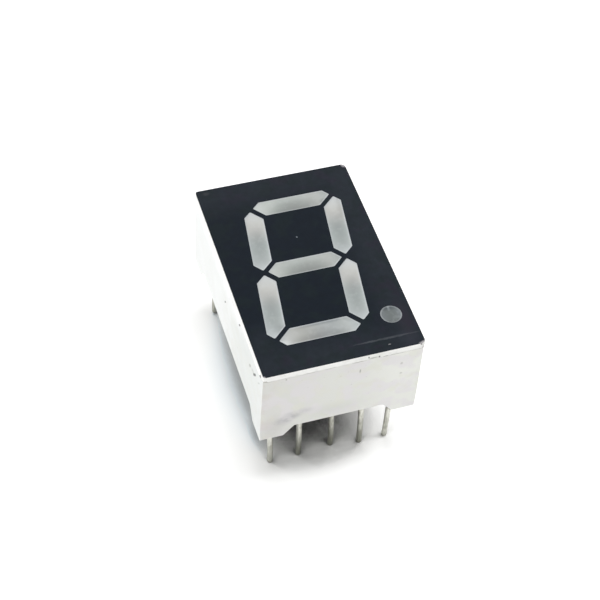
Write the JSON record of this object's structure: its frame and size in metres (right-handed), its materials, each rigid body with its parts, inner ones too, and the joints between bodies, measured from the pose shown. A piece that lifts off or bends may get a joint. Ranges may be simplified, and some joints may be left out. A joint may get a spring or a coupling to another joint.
{
  "type": "seven segment display",
  "caption": "Single digit numeric LED display with a decimal point, a black face on a white moulded reflector and through-hole leads in two rows.",
  "frame": {"origin": "middle of the two rows of leads, on the plane where the four feet sit on a circuit board", "axes": "+Z out of the printed face, +Y to the top of the digit, +X to its right"},
  "size_m": [0.0126, 0.019, 0.0142],
  "materials": {
    "housing": "satin white moulding, slightly warm, with faint grime",
    "face_ink": "semi-matte black ink with a slight blue cast",
    "segment_epoxy": "milky diffused epoxy, satin",
    "point_epoxy": "milky diffused epoxy, greyer than the segments",
    "led_die": "sawn semiconductor chip, sealed in epoxy",
    "bond_wire": "bright gold wire",
    "board": "bare laminate",
    "copper": "etched copper",
    "solder": "dull solder",
    "potting": "cast epoxy, satin",
    "lead": "tinned wire, satin, warm grey"
  },
  "bodies": {
    "root": {"reflector_housing": "housing", "face_ink": "face_ink", "segment_a": "segment_epoxy", "segment_b": "segment_epoxy", "segment_c": "segment_epoxy", "segment_d": "segment_epoxy", "segment_e": "segment_epoxy", "segment_f": "segment_epoxy", "segment_g": "segment_epoxy", "decimal_point": "point_epoxy", "die_a": "led_die", "die_b": "led_die", "die_c": "led_die", "die_d": "led_die", "die_e": "led_die", "die_f": "led_die", "die_g": "led_die", "die_dp": "led_die", "bond_wires": "bond_wire", "circuit_board": "board", "front_tracks": "copper", "rear_pads": "copper", "solder_joints": "solder", "rear_potting": "potting", "lead_1": "lead", "lead_2": "lead", "lead_3": "lead", "lead_4": "lead", "lead_5": "lead", "lead_6": "lead", "lead_7": "lead", "lead_8": "lead", "lead_9": "lead", "lead_10": "lead"}
  },
  "joints": []
}
